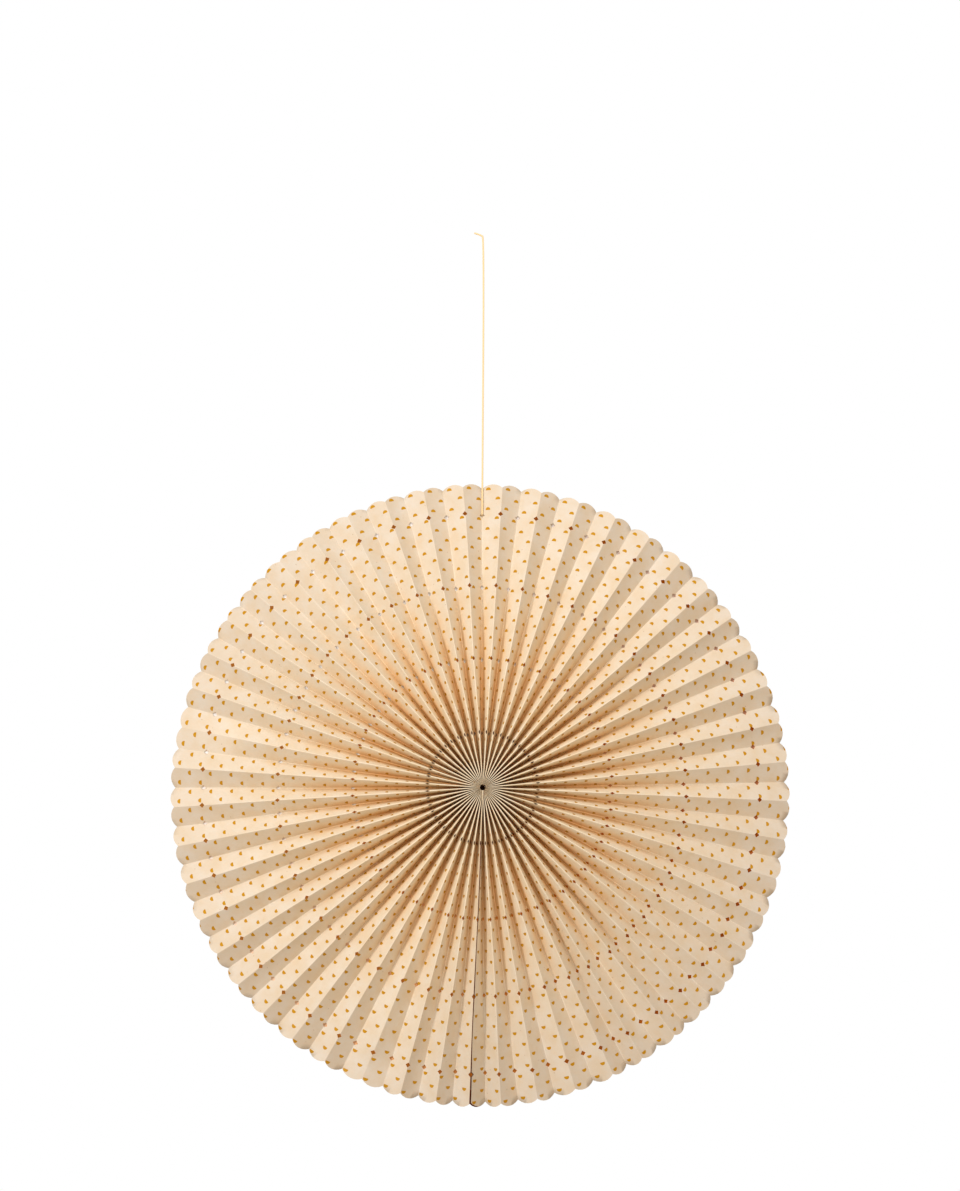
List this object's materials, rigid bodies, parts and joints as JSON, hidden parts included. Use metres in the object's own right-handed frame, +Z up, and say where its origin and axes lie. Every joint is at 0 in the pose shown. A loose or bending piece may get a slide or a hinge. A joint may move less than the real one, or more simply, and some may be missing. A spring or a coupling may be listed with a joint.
{
  "type": "paper fan rosette",
  "caption": "Round wall rosette, 40 cm across, folded from one strip of cream paper in 50 pleats with scalloped rim, punched diamonds and a gold hanging cord.",
  "frame": {"origin": "the hanging point, where the cord bends over its nail at the top", "axes": "+Z up along the hanging cord, the front of the disc faces -Y, +X to the right seen from the front"},
  "size_m": [0.4007, 0.0164, 0.5757],
  "materials": {
    "fan_paper": "uncoated flecked paper, screen printed",
    "craft_glue": "set craft glue, slightly cloudy",
    "gold_cord": "twisted gold thread"
  },
  "bodies": {
    "root": {"pleated_paper": "fan_paper", "hub_glue": "craft_glue", "hanging_cord": "gold_cord", "cord_knot": "gold_cord"}
  },
  "joints": []
}
